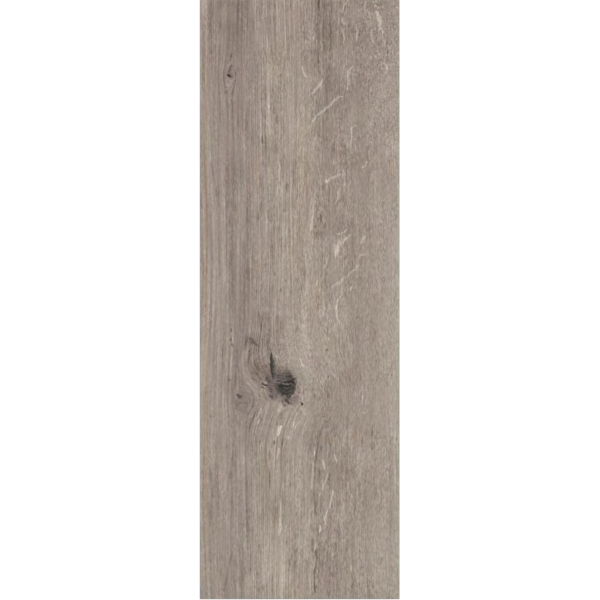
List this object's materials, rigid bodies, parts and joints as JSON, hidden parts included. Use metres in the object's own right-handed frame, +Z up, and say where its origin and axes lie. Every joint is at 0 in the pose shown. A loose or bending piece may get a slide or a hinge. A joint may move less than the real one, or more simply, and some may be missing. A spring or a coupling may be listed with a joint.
{
  "type": "wood look porcelain plank tile",
  "caption": "Flat rectangular porcelain floor plank with a printed brushed oak face, bevelled ground edges and a ribbed keyed back for adhesive.",
  "frame": {"origin": "middle of the ribbed back, in the plane of the rib tops that the tile rests on", "axes": "+Z up out of the printed face, +Y along the plank, +X across it"},
  "size_m": [0.2, 0.6, 0.009],
  "materials": {
    "glazed_porcelain": "matte"
  },
  "bodies": {
    "root": {"plank_tile": "glazed_porcelain"}
  },
  "joints": []
}
